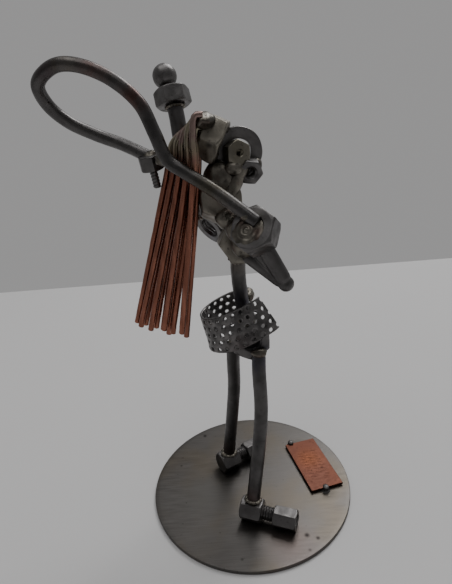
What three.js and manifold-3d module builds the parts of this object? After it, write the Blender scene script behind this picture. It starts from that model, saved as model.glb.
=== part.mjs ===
// Tennis player figurine made of hexagon nuts, bent steel rod and copper wire,
// standing on a round sheet steel base. Millimetres, +Z up, +X the way the
// player faces, origin at the centre of the base's underside.
import * as THREE from 'three';
import { mergeVertices } from 'three/addons/utils/BufferGeometryUtils.js';
import Module from 'manifold-3d';

const wasm = await Module();
wasm.setup();

// Driving dimensions

// The pose below is written in POSE_STEPS equal steps of the figure's height.
const FIGURE_H = 160;
const POSE_STEPS = 160;

const BASE_D = 80;
const BASE_T = 1.5;
const BASE_SIDES = 60;

const PLATE_LENGTH = 28;
const PLATE_WIDTH = 13.7;
const PLATE_T = 1;
const PLATE_INSET = 13;
const PLATE_PIN_D = 2.6;
const PLATE_PIN_H = 2.2;

const LEG_ROD_D = 5;
const ARM_ROD_D = 5;
const RACKET_ROD_D = 4;
const NECK_ROD_D = 5;
const HAIR_WIRE_D = 2;
const THROAT_BOLT_D = 2.5;
const THROAT_BOLT_LENGTH = 8;
const FOOT_STUD_D = 5;

const BALL_D = 7.5;
const CROWN = { width: 7.2, length: 11.2, height: 5.2 };
const NECK_WELD = { width: 10.4, length: 7.6, height: 10.6 };

const VISOR_OUTER_D = 15.4;
const VISOR_INNER_D = 8;
const VISOR_T = 2;

const SKIRT_LENGTH = 21.6;
const SKIRT_WIDTH = 17;
const SKIRT_HEIGHT = 13;
const SKIRT_FLARE = 2.2;
const SKIRT_SHEET_T = 0.8;
const SKIRT_HOLE_D = 1.5;
const SKIRT_HOLE_PITCH = 3.1;
const SKIRT_WELD = { width: 4.4, length: 9, height: 4.4 };

// Hexagon nuts: width across flats, thickness and the bore that is left open
const HEEL_NUT = { flats: 8, thick: 8.2, bore: 0 };
const TOE_NUT = { flats: 7, thick: 8.6, bore: 0 };
const HAND_NUT = { flats: 10, thick: 5, bore: 0 };
const BODY_NUT = { flats: 13, thick: 6.5, bore: 0 };
const OPEN_BODY_NUT = { flats: 13, thick: 6.5, bore: 6.8 };
const FACE_NUT = { flats: 7.2, thick: 4.6, bore: 1.6 };
const CHIN_NUT = { flats: 7, thick: 4, bore: 3.2 };
const THROAT_NUT = { flats: 7, thick: 4.6, bore: 0 };

// Clearance between neighbouring pieces, as the weld gap
const GAP = 0.3;

// The corners of a nut are turned down to a cone at both faces.
const NUT_CHAMFER_DEG = 30;
const NUT_SIDES = 6;

// Facets round a rod, a wire, a hole in the skirt and a nut's chamfer
const ROD_SIDES = 10;
const WIRE_SIDES = 5;
const HOLE_SIDES = 5;
const CHAMFER_SIDES = 12;

// Pose points, scaled with the figure's height
function at(x, y, z) {
  const step = FIGURE_H / POSE_STEPS;
  return new THREE.Vector3(x * step, y * step, z * step);
}

// Materials

function metal(color, roughness, metalness = 1) {
  return new THREE.MeshStandardMaterial({ color, roughness, metalness });
}

const steel = metal(0x48464a, 0.45);
const baseSteel = metal(0x5b5755, 0.5);
const warmSteel = metal(0x4d4841, 0.5);
const copper = metal(0x7a4232, 0.4);
const plateCopper = metal(0x96563f, 0.5);

// Solids

// A closed three.js geometry as a solid, moved by a matrix.
function solid(geometry, matrix = new THREE.Matrix4()) {
  const bare = geometry.clone();
  bare.deleteAttribute('normal');
  bare.deleteAttribute('uv');
  bare.applyMatrix4(matrix);
  const merged = mergeVertices(bare, 1e-4);
  return new wasm.Manifold(new wasm.Mesh({
    numProp: 3,
    vertProperties: new Float32Array(merged.attributes.position.array),
    triVerts: new Uint32Array(merged.index.array),
  }));
}

// A solid as a three.js geometry.
function geometryOf(body) {
  const mesh = body.getMesh();
  const geometry = new THREE.BufferGeometry();
  geometry.setAttribute('position', new THREE.BufferAttribute(mesh.vertProperties, 3));
  geometry.setIndex(new THREE.BufferAttribute(mesh.triVerts, 1));
  return geometry;
}

// The largest of several solids that a cut has left.
function largest(body) {
  const pieces = body.decompose();
  pieces.sort((a, b) => b.volume() - a.volume());
  return pieces[0];
}

// A frame at a point whose local Z runs along an axis, spun about it.
function frameAlong(point, axis, spinDeg = 0) {
  const z = axis.clone().normalize();
  const side = Math.abs(z.z) > 0.9 ? new THREE.Vector3(1, 0, 0) : new THREE.Vector3(0, 0, 1);
  const x = new THREE.Vector3().crossVectors(side, z).normalize();
  const y = new THREE.Vector3().crossVectors(z, x);
  const turn = new THREE.Matrix4().makeBasis(x, y, z);
  const spin = new THREE.Matrix4().makeRotationZ(THREE.MathUtils.degToRad(spinDeg));
  return new THREE.Matrix4().makeTranslation(point).multiply(turn).multiply(spin);
}

// A hexagon nut about local Z: a hexagonal prism met by a chamfer cone, less
// its bore. Grown by a margin it is the room that the nut needs.
function nutSolid(nut, margin = 0) {
  const half = nut.thick / 2 + margin;
  const across = nut.flats / 2 + margin;
  const corner = across / Math.cos(Math.PI / NUT_SIDES);
  const prism = new THREE.CylinderGeometry(corner, corner, 2 * half, NUT_SIDES);
  prism.rotateX(Math.PI / 2);
  const rise = (corner - across) * Math.tan(THREE.MathUtils.degToRad(NUT_CHAMFER_DEG));
  const profile = [
    new THREE.Vector2(0, -half),
    new THREE.Vector2(across, -half),
    new THREE.Vector2(corner + margin, -half + rise * (corner + margin - across) / (corner - across)),
    new THREE.Vector2(corner + margin, half - rise * (corner + margin - across) / (corner - across)),
    new THREE.Vector2(across, half),
    new THREE.Vector2(0, half),
  ];
  const turned = new THREE.LatheGeometry(profile, CHAMFER_SIDES);
  turned.rotateX(Math.PI / 2);
  let body = solid(prism).intersect(solid(turned));
  if (nut.bore > 0 && margin === 0) {
    const drill = new THREE.CylinderGeometry(nut.bore / 2, nut.bore / 2, 2 * nut.thick, ROD_SIDES);
    drill.rotateX(Math.PI / 2);
    body = body.subtract(solid(drill));
  }
  return body;
}

// A round tube along a curve, closed at both ends.
function tubeGeometry(curve, diameter, steps, sides) {
  const section = new THREE.Shape();
  for (let i = 0; i < sides; i += 1) {
    const angle = (2 * Math.PI * i) / sides;
    const x = (diameter / 2) * Math.cos(angle);
    const y = (diameter / 2) * Math.sin(angle);
    if (i === 0) {
      section.moveTo(x, y);
    } else {
      section.lineTo(x, y);
    }
  }
  section.closePath();
  return new THREE.ExtrudeGeometry(section, { steps, extrudePath: curve, bevelEnabled: false });
}

// A lump of weld metal: an ellipsoid grown by a margin.
function lumpGeometry(size, margin) {
  const lump = new THREE.SphereGeometry(1, 12, 8);
  lump.scale(size.width / 2 + margin, size.length / 2 + margin, size.height / 2 + margin);
  return lump;
}

// A smooth curve through points.
function throughPoints(points) {
  return new THREE.CatmullRomCurve3(points, false, 'centripetal');
}

// The pieces: each has a name, a material, a frame and a function that gives
// its solid in the world frame, grown by a margin.
const pieces = new Map();

function addPiece(name, material, frame, build) {
  pieces.set(name, { name, material, frame, build, cutBy: [] });
}

// A piece that gives way to others loses what they need plus the gap.
function giveWay(name, ...others) {
  pieces.get(name).cutBy.push(...others);
}

function addNut(name, material, nut, point, axis, spinDeg) {
  const frame = frameAlong(point, axis, spinDeg);
  addPiece(name, material, frame, (margin) => nutSolid(nut, margin).transform(frame.elements));
}

function addRod(name, material, points, diameter, steps, sides = ROD_SIDES) {
  const frame = new THREE.Matrix4().makeTranslation(points[0]);
  const curve = throughPoints(points);
  addPiece(name, material, frame, (margin) => solid(tubeGeometry(curve, diameter + 2 * margin, steps, sides)));
}

// Base

const baseTop = BASE_T;

function addBase() {
  const disc = new THREE.CylinderGeometry(BASE_D / 2, BASE_D / 2, BASE_T, BASE_SIDES);
  disc.rotateX(Math.PI / 2);
  disc.translate(0, 0, BASE_T / 2);
  addPiece('base_disc', baseSteel, new THREE.Matrix4(), () => solid(disc));
}

// The copper plate lies in front of the player, fixed by two steel pins that
// stand on the base against its short ends.
const PLATE_CENTRE = { x: BASE_D / 2 - PLATE_INSET, y: 6.5 };
const PLATE_HEADING_DEG = -76.5;

function addPlate() {
  const frame = new THREE.Matrix4().makeTranslation(
    PLATE_CENTRE.x, PLATE_CENTRE.y, baseTop + GAP + PLATE_T / 2);
  frame.multiply(new THREE.Matrix4().makeRotationZ(THREE.MathUtils.degToRad(PLATE_HEADING_DEG)));
  const plate = new THREE.BoxGeometry(PLATE_LENGTH, PLATE_WIDTH, PLATE_T);
  addPiece('copper_plate', plateCopper, frame, (margin) => {
    const grown = new THREE.BoxGeometry(
      PLATE_LENGTH + 2 * margin, PLATE_WIDTH + 2 * margin, PLATE_T + 2 * margin);
    return margin > 0 ? solid(grown, frame) : solid(plate, frame);
  });

  const pinReach = PLATE_LENGTH / 2 + PLATE_PIN_D / 2 - PLATE_T;
  const pins = [
    { name: 'plate_pin_front', along: pinReach, across: -0.06 * PLATE_WIDTH },
    { name: 'plate_pin_back', along: -pinReach, across: -0.3 * PLATE_WIDTH },
  ];
  for (const pin of pins) {
    const foot = new THREE.Vector3(pin.along, pin.across, 0).applyMatrix4(frame);
    foot.z = baseTop + GAP + PLATE_PIN_H / 2;
    const pinFrame = new THREE.Matrix4().makeTranslation(foot);
    addPiece(pin.name, steel, pinFrame, (margin) => {
      const stud = new THREE.CylinderGeometry(
        PLATE_PIN_D / 2 + margin, PLATE_PIN_D / 2 + margin, PLATE_PIN_H + 2 * margin, ROD_SIDES);
      stud.rotateX(Math.PI / 2);
      return solid(stud, pinFrame);
    });
    giveWay(pin.name, 'copper_plate');
  }
}

// Feet: a long nut under the leg, a stud and a smaller long nut as the toe,
// all on one line along the ground.
const FOOT_REACH = 12.8;

const feet = {
  right: { heel: at(-0.8, -18, 0), headingDeg: -22 },
  left: { heel: at(-8.9, 9.2, 0), headingDeg: 30 },
};

function addFoot(side) {
  const { heel, headingDeg } = feet[side];
  const heading = THREE.MathUtils.degToRad(headingDeg);
  const ahead = new THREE.Vector3(Math.cos(heading), Math.sin(heading), 0);
  const floor = baseTop + GAP;
  const heelCentre = new THREE.Vector3(heel.x, heel.y, floor + HEEL_NUT.flats / 2);
  const toeCentre = heelCentre.clone().addScaledVector(ahead, FOOT_REACH);
  toeCentre.z = floor + TOE_NUT.flats / 2;
  // spun so that a flat lies on the base
  addNut(`heel_nut_${side}`, steel, HEEL_NUT, heelCentre, ahead, 30);
  addNut(`toe_nut_${side}`, steel, TOE_NUT, toeCentre, ahead, 30);
  addRod(`foot_stud_${side}`, steel, [heelCentre, toeCentre], FOOT_STUD_D, 1);
  giveWay(`foot_stud_${side}`, `heel_nut_${side}`, `toe_nut_${side}`);
  return heelCentre;
}

// Legs and waist

const pelvisCentre = at(2.9, -0.3, 69.2);

function addLeg(side, heelCentre, points) {
  addRod(`leg_${side}`, steel, [heelCentre, ...points], LEG_ROD_D, 9);
  giveWay(`leg_${side}`, `heel_nut_${side}`, 'pelvis_nut');
}

const chestCentre = at(1.5, -5.7, 107.5);

function addTrunk() {
  addNut('pelvis_nut', steel, BODY_NUT, pelvisCentre, new THREE.Vector3(0.12, -1, 0.08), 0);
  addRod('waist_rod', steel, [pelvisCentre, at(0.6, 0, 86.4), at(0.2, -3.5, 99.5), chestCentre], LEG_ROD_D, 8);
  addNut('chest_nut', warmSteel, BODY_NUT, chestCentre, new THREE.Vector3(0.12, -1, 0.12), 30);
  giveWay('waist_rod', 'pelvis_nut', 'chest_nut');
  addNut('shoulder_nut_left', steel, OPEN_BODY_NUT, at(-6.4, 5.6, 111.5), new THREE.Vector3(-0.7, -0.55, -0.45), 10);
  giveWay('shoulder_nut_left', 'chest_nut');
  addNut('upper_back_nut', warmSteel, BODY_NUT, at(-4.2, -1.4, 120), new THREE.Vector3(0.2, -0.85, 0.45), 0);
  giveWay('upper_back_nut', 'chest_nut', 'shoulder_nut_left');
}

// Skirt: a strip of perforated sheet bent round the hips. Seen from above it
// is an oval that is open at the front, where its near end stands off.
const skirtCentre = at(-1.6, 1, 77.2);
const SKIRT_TILT_DEG = 20;
const SKIRT_FROM_DEG = 55;
const SKIRT_SWEEP_DEG = 275;
const SKIRT_END_DEG = 40;
const SKIRT_STAND_OFF = 0.15;
const SKIRT_STEPS = 24;

function skirtFrame() {
  const frame = new THREE.Matrix4().makeTranslation(skirtCentre);
  return frame.multiply(new THREE.Matrix4().makeRotationY(THREE.MathUtils.degToRad(-SKIRT_TILT_DEG)));
}

// A point of the sheet at a share of its sweep and a height above its centre,
// off the sheet's middle by an offset
function skirtPoint(share, height, offset = 0) {
  const angle = THREE.MathUtils.degToRad(SKIRT_FROM_DEG + SKIRT_SWEEP_DEG * share);
  const down = 0.5 - height / SKIRT_HEIGHT;
  const endShare = 1 - SKIRT_END_DEG / SKIRT_SWEEP_DEG;
  const stand = 1 + SKIRT_STAND_OFF * THREE.MathUtils.smoothstep(share, endShare, 1);
  const alongX = (SKIRT_LENGTH / 2 + SKIRT_FLARE * down) * stand + offset;
  const alongY = (SKIRT_WIDTH / 2 + SKIRT_FLARE * down) * stand + offset;
  return new THREE.Vector3(alongX * Math.cos(angle), alongY * Math.sin(angle), height);
}

// The sheet as rings of four corners from one end to the other, closed.
function skirtSheet(margin) {
  const reach = SKIRT_SHEET_T / 2 + margin;
  const half = SKIRT_HEIGHT / 2 + margin;
  const over = (2 * margin) / (SKIRT_LENGTH + SKIRT_WIDTH);
  const vertices = [];
  const faces = [];
  for (let i = 0; i <= SKIRT_STEPS; i += 1) {
    const share = THREE.MathUtils.lerp(-over, 1 + over, i / SKIRT_STEPS);
    const corners = [
      skirtPoint(share, -half, -reach),
      skirtPoint(share, -half, reach),
      skirtPoint(share, half, reach),
      skirtPoint(share, half, -reach),
    ];
    for (const corner of corners) {
      vertices.push(corner.x, corner.y, corner.z);
    }
  }
  for (let i = 0; i < SKIRT_STEPS; i += 1) {
    for (let k = 0; k < 4; k += 1) {
      const a = 4 * i + k;
      const b = 4 * i + ((k + 1) % 4);
      faces.push(a, a + 4, b, b, a + 4, b + 4);
    }
  }
  const last = 4 * SKIRT_STEPS;
  faces.push(0, 1, 2, 0, 2, 3);
  faces.push(last, last + 2, last + 1, last, last + 3, last + 2);
  const geometry = new THREE.BufferGeometry();
  geometry.setAttribute('position', new THREE.Float32BufferAttribute(vertices, 3));
  geometry.setIndex(faces);
  return geometry;
}

// Shares of the sweep at equal steps along the sheet's middle at a height
function skirtStations(height, pitch, stagger) {
  const samples = 400;
  const lengths = [0];
  for (let i = 1; i <= samples; i += 1) {
    const step = skirtPoint(i / samples, height).distanceTo(skirtPoint((i - 1) / samples, height));
    lengths.push(lengths[i - 1] + step);
  }
  const stations = [];
  let next = SKIRT_HOLE_D + stagger * pitch;
  for (let i = 1; i <= samples && next < lengths[samples] - SKIRT_HOLE_D; i += 1) {
    if (lengths[i] >= next) {
      stations.push(i / samples);
      next += pitch;
    }
  }
  return stations;
}

// Holes in staggered rows, as drills through the sheet
function skirtDrills() {
  const rowPitch = SKIRT_HOLE_PITCH * Math.sin(Math.PI / 3);
  const rows = Math.floor((SKIRT_HEIGHT - SKIRT_HOLE_D) / rowPitch);
  const drills = [];
  for (let row = 0; row < rows; row += 1) {
    const height = (row - (rows - 1) / 2) * rowPitch;
    const stagger = row % 2 === 0 ? 0 : 0.5;
    for (const share of skirtStations(height, SKIRT_HOLE_PITCH, stagger)) {
      const inside = skirtPoint(share, height, -2 * SKIRT_SHEET_T);
      const outside = skirtPoint(share, height, 2 * SKIRT_SHEET_T);
      const path = new THREE.LineCurve3(inside, outside);
      drills.push(solid(tubeGeometry(path, SKIRT_HOLE_D, 1, HOLE_SIDES), skirtFrame()));
    }
  }
  return drills;
}

function addSkirt() {
  const frame = skirtFrame();
  addPiece('skirt', steel, frame, (margin) => {
    const sheet = solid(skirtSheet(margin), frame);
    return margin > 0 ? sheet : sheet.subtract(wasm.Manifold.union(skirtDrills()));
  });

  // the weld that holds the far end of the sheet to the waist
  const weldFrame = new THREE.Matrix4().makeTranslation(at(3.4, 4.4, 84.6));
  addPiece('skirt_weld', warmSteel, weldFrame, (margin) => solid(lumpGeometry(SKIRT_WELD, margin), weldFrame));
  giveWay('skirt_weld', 'waist_rod', 'skirt');
}

// Right arm: a rod bent back on itself at the elbow, with a thinner web between
// its two halves and the hand nut on its end
const elbow = at(14.1, -16, 95.9);
const rightShoulder = at(2, -9.2, 105);
const rightHand = at(5.5, -16, 113.1);
const ARM_WEB_D = 3.8;

function addRightArm() {
  const frame = new THREE.Matrix4().makeTranslation(rightShoulder);
  const webEnd = new THREE.Vector3().lerpVectors(rightShoulder, rightHand, 0.5);
  addPiece('arm_right', steel, frame, (margin) => {
    const thick = ARM_ROD_D + 2 * margin;
    const upper = solid(tubeGeometry(new THREE.LineCurve3(rightShoulder, elbow), thick, 1, ROD_SIDES));
    const lower = solid(tubeGeometry(new THREE.LineCurve3(elbow, rightHand), thick, 1, ROD_SIDES));
    const webLine = new THREE.LineCurve3(elbow, webEnd);
    const web = solid(tubeGeometry(webLine, ARM_WEB_D + 2 * margin, 1, ROD_SIDES));
    const bend = new THREE.SphereGeometry(ARM_ROD_D / 2 + margin, ROD_SIDES, ROD_SIDES / 2);
    bend.translate(elbow.x, elbow.y, elbow.z);
    return upper.add(lower).add(web).add(solid(bend));
  });
  addNut('hand_nut_right', steel, BODY_NUT, rightHand, new THREE.Vector3(-0.4, -0.73, 0.55), 0);
  giveWay('arm_right', 'chest_nut', 'hand_nut_right');
  giveWay('hand_nut_right', 'chest_nut');
}

// Racket: one rod from the hand over the shoulder, bent round into a loop
const racketPoints = [
  at(6.1, -18.3, 116.2),
  at(-5.4, -12.5, 125),
  at(-13.8, -9.5, 130.6),
  at(-18.6, -8, 134.4),
  at(-21.5, -7, 142),
  at(-24.6, -6, 149.6),
  at(-31.6, -5, 156.6),
  at(-41, -4, 161),
  at(-48.2, -2, 161.2),
  at(-53.9, 0, 157.2),
  at(-53.9, 4, 152),
  at(-49.8, 7, 146.6),
  at(-42, 8, 142),
  at(-34, 7, 138.6),
  at(-25.2, 2.5, 134.6),
];
const throatCentre = at(-24.6, 1.2, 132.9);

function addRacket() {
  addRod('racket', steel, racketPoints, RACKET_ROD_D, 40, 8);
  const downwards = new THREE.Vector3(0.12, 0.1, -1);
  addNut('throat_nut', steel, THROAT_NUT, throatCentre, downwards, 15);
  const boltEnd = throatCentre.clone().addScaledVector(downwards.clone().normalize(), THROAT_BOLT_LENGTH);
  addRod('throat_bolt', steel, [throatCentre, boltEnd], THROAT_BOLT_D, 1);
  giveWay('racket', 'throat_nut', 'hand_nut_right');
  giveWay('throat_bolt', 'throat_nut');
}

// Left arm, raised, with the ball on the hand nut
const leftHand = at(-16.4, 9, 150.9);
const leftArmPoints = [
  at(-9.5, 6.2, 114),
  at(-12.6, 7, 126),
  at(-15, 6, 139),
  at(-15.5, 6.8, 145),
];

function addLeftArm() {
  const reach = new THREE.Vector3().subVectors(leftHand, leftArmPoints[3]);
  addRod('arm_left', steel, [...leftArmPoints, leftHand], ARM_ROD_D, 10);
  addNut('hand_nut_left', steel, HAND_NUT, leftHand, reach, 10);
  giveWay('arm_left', 'shoulder_nut_left', 'upper_back_nut', 'hand_nut_left', 'head_nut');
  const lift = HAND_NUT.thick / 2 + GAP + BALL_D / 2;
  const ballCentre = leftHand.clone().addScaledVector(reach.clone().normalize(), lift);
  ballCentre.add(at(-0.9, -1.2, 0.2));
  const frame = new THREE.Matrix4().makeTranslation(ballCentre);
  addPiece('ball', steel, frame, (margin) => {
    const sphere = new THREE.SphereGeometry(BALL_D / 2 + margin, 16, 8);
    return solid(sphere, frame);
  });
  giveWay('ball', 'hand_nut_left');
}

// Head: a nut on its side, a face nut ahead of it, the visor ring round the
// face, a chin nut below, the neck with its weld metal, and the crown
const headCentre = at(-4.9, 0.3, 138.4);
const crownCentre = at(-7.2, -2.5, 143.9);

function addHead() {
  const neckLine = new THREE.LineCurve3(at(-3.4, -1.5, 117.5), at(3.8, -1, 130.4));
  const neckFrame = new THREE.Matrix4().makeTranslation(at(-3.8, -0.4, 127));
  addPiece('neck', warmSteel, neckFrame, (margin) => {
    const rod = solid(tubeGeometry(neckLine, NECK_ROD_D + 2 * margin, 1, ROD_SIDES));
    return rod.add(solid(lumpGeometry(NECK_WELD, margin), neckFrame));
  });
  giveWay('neck', 'upper_back_nut', 'face_nut', 'chin_nut', 'head_nut');
  addNut('head_nut', warmSteel, BODY_NUT, headCentre, new THREE.Vector3(0.87, -0.15, -0.42), 30);
  addNut('face_nut', warmSteel, FACE_NUT, at(2, -1, 133.9), new THREE.Vector3(0.35, -0.9, 0.1), 0);
  giveWay('face_nut', 'head_nut');
  addNut('chin_nut', steel, CHIN_NUT, at(5.7, -1, 128.4), new THREE.Vector3(0.1, -0.9, -0.2), 20);
  giveWay('chin_nut', 'face_nut');

  const ringFrame = frameAlong(at(2.7, 3, 133.9), new THREE.Vector3(0.15, -1, 0), 0);
  addPiece('visor_ring', steel, ringFrame, (margin) => {
    const outer = VISOR_OUTER_D / 2 + margin;
    const inner = VISOR_INNER_D / 2 - margin;
    const half = VISOR_T / 2 + margin;
    const profile = [
      new THREE.Vector2(inner, -half),
      new THREE.Vector2(outer, -half),
      new THREE.Vector2(outer, half),
      new THREE.Vector2(inner, half),
      new THREE.Vector2(inner, -half),
    ];
    const ring = new THREE.LatheGeometry(profile, 24);
    ring.rotateX(Math.PI / 2);
    return solid(ring, ringFrame);
  });
  giveWay('visor_ring', 'head_nut', 'face_nut', 'chin_nut', 'neck');

  const crownFrame = new THREE.Matrix4().makeTranslation(crownCentre);
  addPiece('crown', warmSteel, crownFrame, (margin) => solid(lumpGeometry(CROWN, margin), crownFrame));
  giveWay('crown', 'head_nut');
}

// Hair: wires in layers from the near side of the head to the far side. They
// leave the crown in quarter ovals, one inside the next within a layer, and
// hang down in a fan. Each layer lists where its wires end, outermost first.
const HAIR_ENDS = [
  [-20.6],
  [-26.8, -24],
  [-31.8, -25.7, -19.6],
  [-35.5, -30.2, -24.7],
  [-37, -34.2, -28.2],
];
const HAIR_PITCH = HAIR_WIRE_D + GAP;
const HAIR_NEST = HAIR_WIRE_D + 2 * GAP;
const HAIR_NEAR = { x: -10.9, y: -6.9 };
const HAIR_LAYER_STEP = 2;
const HAIR_TOP = 143;
const HAIR_BEND = { x: -9.3, z: 133.2 };
const HAIR_FAN = { left: -37, right: -19.6, leftZ: 78, rightZ: 72.8 };
// The head leans, so the hair's near side is the higher one.
const HAIR_LEAN = 0.4;

function hairWire(layer, nest, order) {
  const y = HAIR_NEAR.y + layer * HAIR_PITCH;
  const x = HAIR_NEAR.x - layer * HAIR_LAYER_STEP + nest * HAIR_NEST;
  const top = HAIR_TOP - HAIR_LEAN * y - nest * HAIR_NEST;
  const points = [at(crownCentre.x, y, top)];
  for (const angleDeg of [90, 60, 30, 0]) {
    const angle = THREE.MathUtils.degToRad(angleDeg);
    const out = (x - HAIR_BEND.x) * Math.cos(angle);
    const up = (top - HAIR_BEND.z) * Math.sin(angle);
    points.push(at(HAIR_BEND.x + out, y, HAIR_BEND.z + up));
  }
  const endX = HAIR_ENDS[layer][nest];
  const fan = (endX - HAIR_FAN.left) / (HAIR_FAN.right - HAIR_FAN.left);
  const uneven = 0.9 * Math.sin(7 * order + 1);
  const endZ = THREE.MathUtils.lerp(HAIR_FAN.leftZ, HAIR_FAN.rightZ, fan) + uneven;
  points.push(at(endX, y, endZ - HAIR_LEAN * y));
  return points;
}

function addHair() {
  let order = 0;
  for (let layer = 0; layer < HAIR_ENDS.length; layer += 1) {
    for (let nest = 0; nest < HAIR_ENDS[layer].length; nest += 1) {
      order += 1;
      const name = `hair_wire_${String(order).padStart(2, '0')}`;
      addRod(name, copper, hairWire(layer, nest, order), HAIR_WIRE_D, 10, WIRE_SIDES);
      giveWay(name, 'crown', 'head_nut');
      for (const neighbour of ['upper_back_nut', 'neck', 'throat_bolt']) {
        giveWay(neighbour, name);
      }
    }
  }
}

// Assembly

addBase();
addPlate();
const heelRight = addFoot('right');
const heelLeft = addFoot('left');
addTrunk();
addLeg('right', heelRight, [at(4.9, -9, 42), at(5.2, -5.4, 58.7), at(5.6, -3.4, 66)]);
addLeg('left', heelLeft, [at(-4.1, 8, 44.3), at(-3.8, 6, 54.8), at(-3.4, 3.4, 65.5)]);
addSkirt();
addRightArm();
addLeftArm();
addHead();
addRacket();
addHair();

const figurine = new THREE.Group();
for (const piece of pieces.values()) {
  let body = piece.build(0);
  for (const other of piece.cutBy) {
    body = body.subtract(pieces.get(other).build(GAP));
  }
  const back = piece.frame.clone().invert();
  const local = largest(body).transform(back.elements);
  const mesh = new THREE.Mesh(geometryOf(local), piece.material);
  mesh.name = piece.name;
  mesh.applyMatrix4(piece.frame);
  figurine.add(mesh);
}

export default figurine;
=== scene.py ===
"""Tennis player figurine of nuts, bent rod and copper wire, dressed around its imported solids.

Laid out as an add-on. Sizes are in metres in the panel and in millimetres in the shape functions.
"""

import math

import bmesh
import bpy
import numpy as np
from bpy.props import FloatProperty, FloatVectorProperty, IntProperty, PointerProperty
from mathutils import Matrix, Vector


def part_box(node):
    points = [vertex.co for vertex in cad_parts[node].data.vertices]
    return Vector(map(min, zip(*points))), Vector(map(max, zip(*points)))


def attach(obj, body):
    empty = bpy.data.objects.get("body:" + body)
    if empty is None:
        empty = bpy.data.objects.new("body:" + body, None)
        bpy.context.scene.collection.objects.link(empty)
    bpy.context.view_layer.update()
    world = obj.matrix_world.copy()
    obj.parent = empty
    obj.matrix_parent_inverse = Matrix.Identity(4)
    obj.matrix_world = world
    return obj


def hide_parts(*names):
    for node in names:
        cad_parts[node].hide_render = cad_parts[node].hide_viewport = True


bl_info = {
    "name": "Tennis Player Figurine",
    "version": (1, 0, 0),
    "blender": (4, 5, 0),
    "location": "View3D > Sidebar > Figurine",
    "description": "Builds a welded steel tennis player with copper hair on a round base",
    "category": "Add Mesh",
}

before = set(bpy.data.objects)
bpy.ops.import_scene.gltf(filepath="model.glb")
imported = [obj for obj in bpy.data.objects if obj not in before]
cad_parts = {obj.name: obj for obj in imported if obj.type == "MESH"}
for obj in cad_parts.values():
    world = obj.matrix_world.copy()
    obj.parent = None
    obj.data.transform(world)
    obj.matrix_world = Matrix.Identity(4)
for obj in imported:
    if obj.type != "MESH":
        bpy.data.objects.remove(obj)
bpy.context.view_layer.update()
MM = 0.001


def middle_mm(low, high):
    """Middle of a packed box, in millimetres."""
    return np.add(low, high) / 2 / MM


def node_size(node, axis):
    """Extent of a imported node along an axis, in metres."""
    low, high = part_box(node)
    return high[axis] - low[axis]


# Pose of the figure in millimetres, as the solids have it

HEEL_RIGHT = (-0.8, -18, 5.8)
HEEL_LEFT = (-8.9, 9.2, 5.8)
HEADING_RIGHT = -22
HEADING_LEFT = 30
FOOT_REACH = 12.8
TOE_LEVEL = 5.3
PELVIS = (2.9, -0.3, 69.2)
CHEST = (1.5, -5.7, 107.5)
SHOULDER = (-6.4, 5.6, 111.5)
UPPER_BACK = (-4.2, -1.4, 120)
HEAD = (-4.9, 0.3, 138.4)
FACE = (2, -1, 133.9)
CHIN = (5.7, -1, 128.4)
VISOR = (2.7, 3, 133.9)
CROWN = (-7.2, -2.5, 143.9)
ELBOW = (14.1, -16, 95.9)
RIGHT_SHOULDER = (2, -9.2, 105)
RIGHT_HAND = (5.5, -16, 113.1)
ARM_WEB = 3.8
LEFT_HAND = (-16.4, 9, 150.9)
THROAT = (-24.6, 1.2, 132.9)
SKIRT_WAIST = (-1.6, 1, 77.2)
SKIRT_WELD = (3.4, 4.4, 84.6)
NECK_WELD = (-3.8, -0.4, 127)

CHEST_AXIS = (0.12, -1, 0.12)
HAND_AXIS = (-0.4, -0.73, 0.55)
HEAD_AXIS = (0.87, -0.15, -0.42)
THROAT_AXIS = (0.12, 0.1, -1)
PELVIS_AXIS = (0.12, -1, 0.08)
SHOULDER_AXIS = (-0.7, -0.55, -0.45)
UPPER_BACK_AXIS = (0.2, -0.85, 0.45)
FACE_AXIS = (0.35, -0.9, 0.1)
CHIN_AXIS = (0.1, -0.9, -0.2)
VISOR_AXIS = (0.15, -1, 0)

RIGHT_LEG = [HEEL_RIGHT, (4.9, -9, 42), (5.2, -5.4, 58.7), (5.6, -3.4, 66)]
LEFT_LEG = [HEEL_LEFT, (-4.1, 8, 44.3), (-3.8, 6, 54.8), (-3.4, 3.4, 65.5)]
WAIST = [PELVIS, (0.6, 0, 86.4), (0.2, -3.5, 99.5), CHEST]
LEFT_ARM = [(-9.5, 6.2, 114), (-12.6, 7, 126), (-15, 6, 139), (-15.5, 6.8, 145), LEFT_HAND]
NECK = [(-3.4, -1.5, 117.5), (3.8, -1, 130.4)]
RACKET = [
    (6.1, -18.3, 116.2), (-5.4, -12.5, 125), (-13.8, -9.5, 130.6), (-18.6, -8, 134.4),
    (-21.5, -7, 142), (-24.6, -6, 149.6), (-31.6, -5, 156.6), (-41, -4, 161),
    (-48.2, -2, 161.2), (-53.9, 0, 157.2), (-53.9, 4, 152), (-49.8, 7, 146.6),
    (-42, 8, 142), (-34, 7, 138.6), (-25.2, 2.5, 134.6),
]

# Hexagon nuts: width across flats, thickness, bore and how deep the bore
# goes in from each face, or None where it goes through

HEEL_NUT = (8, 8.2, 0, 0)
TOE_NUT = (7, 8.6, 4.0, 2.0)
HAND_NUT = (10, 5, 0, 0)
BODY_NUT = (13, 6.5, 6.6, 2.2)
CHEST_NUT = (13, 6.5, 0, 0)
SHOULDER_NUT = (13, 6.5, 6.8, None)
FACE_NUT = (7.2, 4.6, 1.6, None)
CHIN_NUT = (7, 4, 3.2, None)
THROAT_NUT = (7, 4.6, 0, 0)

# Smaller pieces: diameters, lengths, and half sizes of the lumps of weld

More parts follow.
